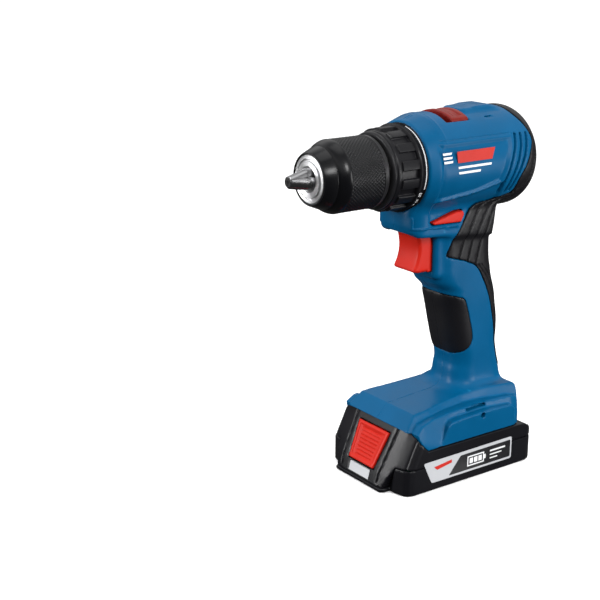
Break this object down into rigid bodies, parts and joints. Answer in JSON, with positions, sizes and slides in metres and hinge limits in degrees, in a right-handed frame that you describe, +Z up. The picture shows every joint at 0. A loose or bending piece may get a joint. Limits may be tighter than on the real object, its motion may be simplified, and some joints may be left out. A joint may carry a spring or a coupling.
{
  "type": "cordless drill",
  "caption": "Pistol-grip cordless drill driver with keyless chuck, torque collar, trigger, selectors and slide-on battery pack.",
  "frame": {"origin": "centre of the battery pack's flat base", "axes": "+Z up, -Y out of the chuck, +X to the user's left"},
  "size_m": [0.0764, 0.1697, 0.2268],
  "materials": {
    "blue_plastic": "satin moulded, fine grain",
    "black_rubber": "matte moulded rubber",
    "red_plastic": "satin red",
    "black_plastic": "satin black",
    "grey_plastic": "satin dark grey",
    "steel": "machined",
    "magnet": "matte dark",
    "copper": "copper",
    "cell_wrap": "shrink film",
    "board_green": "solder mask",
    "wire_cover": "insulated",
    "label_film": "printed film"
  },
  "bodies": {
    "housing": {"left_housing": "blue_plastic", "right_housing": "blue_plastic", "housing_screws": "steel", "left_rear_grip": "black_rubber", "right_rear_grip": "black_rubber", "left_front_grip": "black_rubber", "right_front_grip": "black_rubber", "gear_case": "steel", "nose_case": "black_plastic", "clutch_ring_gear": "steel", "clutch_balls": "steel", "clutch_spring": "steel", "motor_can": "steel", "motor_magnets": "magnet", "motor_end_cap": "black_plastic", "carbon_brushes": "magnet", "motor_bushes": "copper", "spindle_bearing": "steel", "switch_body": "black_plastic", "trigger_spring": "steel", "terminal_block": "black_plastic", "terminal_blades": "copper", "wiring": "wire_cover"},
    "spindle": {"spindle": "steel", "chuck_body": "steel", "chuck_screw": "steel", "chuck_rear_ring": "black_plastic", "output_carrier": "steel"},
    "sleeve": {"chuck_sleeve": "black_plastic", "chuck_nut": "steel"},
    "jaw_1": {"jaw_1": "steel"},
    "jaw_2": {"jaw_2": "steel"},
    "jaw_3": {"jaw_3": "steel"},
    "first_planet_1": {"first_planet_1": "steel"},
    "first_planet_2": {"first_planet_2": "steel"},
    "first_planet_3": {"first_planet_3": "steel"},
    "second_planet_1": {"second_planet_1": "steel"},
    "second_planet_2": {"second_planet_2": "steel"},
    "second_planet_3": {"second_planet_3": "steel"},
    "first_carrier": {"first_carrier": "steel"},
    "armature": {"motor_shaft": "steel", "motor_pinion": "steel", "armature_core": "steel", "armature_windings": "copper"},
    "shifter": {"speed_selector": "red_plastic", "shift_ring": "steel", "shift_wire": "steel"},
    "trigger": {"trigger": "red_plastic"},
    "reversing_slide": {"direction_selector": "red_plastic"},
    "collar": {"torque_collar": "black_plastic"},
    "clutch_nut": {"clutch_nut": "steel"},
    "battery": {"battery_upper_shell": "grey_plastic", "battery_lower_shell": "grey_plastic", "battery_cells": "cell_wrap", "battery_board": "board_green", "battery_contacts": "copper", "battery_screws": "steel", "battery_labels": "label_film", "release_spring": "steel"},
    "release": {"release_button": "red_plastic"}
  },
  "joints": [
    {"name": "motor_spin", "type": "hinge", "parent": "housing", "child": "armature", "pos_m": [0, 0, 0.195], "axis": [0, -1, 0], "continuous": true},
    {"name": "first_carrier_spin", "type": "hinge", "parent": "housing", "child": "first_carrier", "pos_m": [0, 0, 0.195], "axis": [0, -1, 0], "continuous": true},
    {"name": "spindle_spin", "type": "hinge", "parent": "housing", "child": "spindle", "pos_m": [0, 0, 0.195], "axis": [0, -1, 0], "continuous": true},
    {"name": "first_planet_1_spin", "type": "hinge", "parent": "first_carrier", "child": "first_planet_1", "pos_m": [0, -0.00925, 0.20513], "axis": [0, -1, 0], "continuous": true},
    {"name": "first_planet_2_spin", "type": "hinge", "parent": "first_carrier", "child": "first_planet_2", "pos_m": [-0.00877, -0.00925, 0.18994], "axis": [0, -1, 0], "continuous": true},
    {"name": "first_planet_3_spin", "type": "hinge", "parent": "first_carrier", "child": "first_planet_3", "pos_m": [0.00877, -0.00925, 0.18994], "axis": [0, -1, 0], "continuous": true},
    {"name": "second_planet_1_spin", "type": "hinge", "parent": "spindle", "child": "second_planet_1", "pos_m": [0, -0.0201, 0.20513], "axis": [0, -1, 0], "continuous": true},
    {"name": "second_planet_2_spin", "type": "hinge", "parent": "spindle", "child": "second_planet_2", "pos_m": [-0.00877, -0.0201, 0.18994], "axis": [0, -1, 0], "continuous": true},
    {"name": "second_planet_3_spin", "type": "hinge", "parent": "spindle", "child": "second_planet_3", "pos_m": [0.00877, -0.0201, 0.18994], "axis": [0, -1, 0], "continuous": true},
    {"name": "sleeve_turn", "type": "hinge", "parent": "spindle", "child": "sleeve", "pos_m": [0, 0, 0.195], "axis": [0, -1, 0], "range_deg": [0, 2160]},
    {"name": "jaw_1_slide", "type": "slide", "parent": "spindle", "child": "jaw_1", "axis": [0, 0.9659, 0.2588], "range_m": [0, 0.022]},
    {"name": "jaw_2_slide", "type": "slide", "parent": "spindle", "child": "jaw_2", "axis": [-0.2241, 0.9659, -0.1294], "range_m": [0, 0.022]},
    {"name": "jaw_3_slide", "type": "slide", "parent": "spindle", "child": "jaw_3", "axis": [0.2241, 0.9659, -0.1294], "range_m": [0, 0.022]},
    {"name": "collar_turn", "type": "hinge", "parent": "housing", "child": "collar", "pos_m": [0, 0, 0.195], "axis": [0, -1, 0], "range_deg": [-140, 140]},
    {"name": "clutch_nut_slide", "type": "slide", "parent": "housing", "child": "clutch_nut", "axis": [0, 1, 0], "range_m": [-0.002, 0.002], "deforming": ["clutch_spring"]},
    {"name": "trigger_pull", "type": "slide", "parent": "housing", "child": "trigger", "axis": [0, 1, 0], "range_m": [0, 0.007], "stiffness_N_per_m": 500, "springref_m": -0.01, "deforming": ["trigger_spring"]},
    {"name": "direction_slide", "type": "slide", "parent": "housing", "child": "reversing_slide", "axis": [1, 0, 0], "range_m": [-0.003, 0.003]},
    {"name": "speed_slide", "type": "slide", "parent": "housing", "child": "shifter", "axis": [0, -1, 0], "range_m": [0, 0.004]},
    {"name": "battery_slide", "type": "slide", "parent": "housing", "child": "battery", "axis": [0, -1, 0], "range_m": [0, 0.1]},
    {"name": "release_press", "type": "slide", "parent": "battery", "child": "release", "axis": [0, 0.9005, -0.4348], "range_m": [0, 0.0035], "stiffness_N_per_m": 900, "springref_m": -0.004, "deforming": ["release_spring"]}
  ],
  "couplings": [
    {"joint": "first_carrier_spin", "follows": "motor_spin", "ratio": 0.16667},
    {"joint": "spindle_spin", "follows": "motor_spin", "ratio": 0.027778},
    {"joint": "first_planet_1_spin", "follows": "motor_spin", "ratio": -0.41667},
    {"joint": "first_planet_2_spin", "follows": "motor_spin", "ratio": -0.41667},
    {"joint": "first_planet_3_spin", "follows": "motor_spin", "ratio": -0.41667},
    {"joint": "second_planet_1_spin", "follows": "motor_spin", "ratio": -0.069444},
    {"joint": "second_planet_2_spin", "follows": "motor_spin", "ratio": -0.069444},
    {"joint": "second_planet_3_spin", "follows": "motor_spin", "ratio": -0.069444},
    {"joint": "jaw_1_slide", "follows": "sleeve_turn", "m_per_rad": 0.00058357},
    {"joint": "jaw_2_slide", "follows": "sleeve_turn", "m_per_rad": 0.00058357},
    {"joint": "jaw_3_slide", "follows": "sleeve_turn", "m_per_rad": 0.00058357},
    {"joint": "clutch_nut_slide", "follows": "collar_turn", "m_per_rad": 0.00081851}
  ]
}
